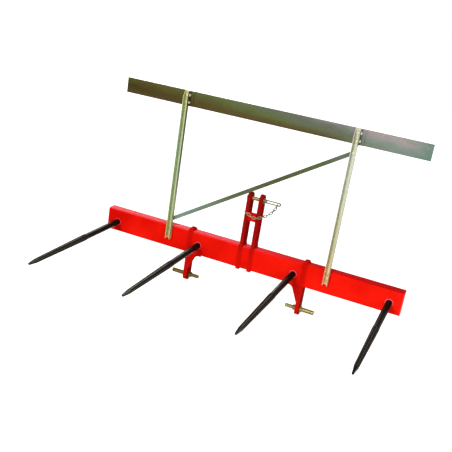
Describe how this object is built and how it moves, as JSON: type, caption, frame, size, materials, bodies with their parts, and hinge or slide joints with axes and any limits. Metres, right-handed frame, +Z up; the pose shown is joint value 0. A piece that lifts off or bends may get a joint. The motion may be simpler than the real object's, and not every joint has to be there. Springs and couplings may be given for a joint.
{
  "type": "bale spear",
  "caption": "Rear-mounted tractor bale spear: a cross beam with long tapered tines, a backrest frame above it, lower link pins below and a top link mast.",
  "frame": {"origin": "midway between the two lower link pins, on their common axis", "axes": "+X along the beam, to the right seen from in front of the points; tines point along -Y; the tractor is on the +Y side; +Z up"},
  "size_m": [1.6, 0.85, 0.985],
  "materials": {
    "red_paint": "gloss red paint",
    "black_tine": "satin black paint on forged steel",
    "zinc_nut": "yellow passivated zinc",
    "yellow_zinc": "iridescent yellow passivated zinc"
  },
  "bodies": {
    "root": {"beam_tube": "red_paint", "beam_cap_left": "red_paint", "beam_cap_right": "red_paint", "mast_bar_left": "red_paint", "mast_bar_right": "red_paint", "mast_spacer": "red_paint", "lug_left": "red_paint", "lug_right": "red_paint", "lug_gusset_left": "red_paint", "lug_gusset_right": "red_paint", "chain_staple": "red_paint", "tine_bush_1": "red_paint", "tine_bush_2": "red_paint", "tine_bush_3": "red_paint", "tine_bush_4": "red_paint", "tine_1": "black_tine", "tine_2": "black_tine", "tine_3": "black_tine", "tine_4": "black_tine", "tine_nut_1": "zinc_nut", "tine_nut_2": "zinc_nut", "tine_nut_3": "zinc_nut", "tine_nut_4": "zinc_nut", "tine_washers": "zinc_nut", "lower_link_pin_left": "yellow_zinc", "lower_link_pin_right": "yellow_zinc", "link_pin_nuts": "yellow_zinc", "top_link_pin": "yellow_zinc", "pin_handle": "yellow_zinc", "chain_links": "yellow_zinc", "upright_left": "yellow_zinc", "upright_right": "yellow_zinc", "top_rail": "yellow_zinc", "rail_cleat_left": "yellow_zinc", "rail_cleat_right": "yellow_zinc", "diagonal_brace": "yellow_zinc", "foot_bolts": "yellow_zinc", "foot_washers": "yellow_zinc", "foot_nuts": "yellow_zinc", "cleat_bolts": "yellow_zinc", "cleat_nuts": "yellow_zinc", "brace_bolts": "yellow_zinc", "brace_nuts": "yellow_zinc"}
  },
  "joints": []
}
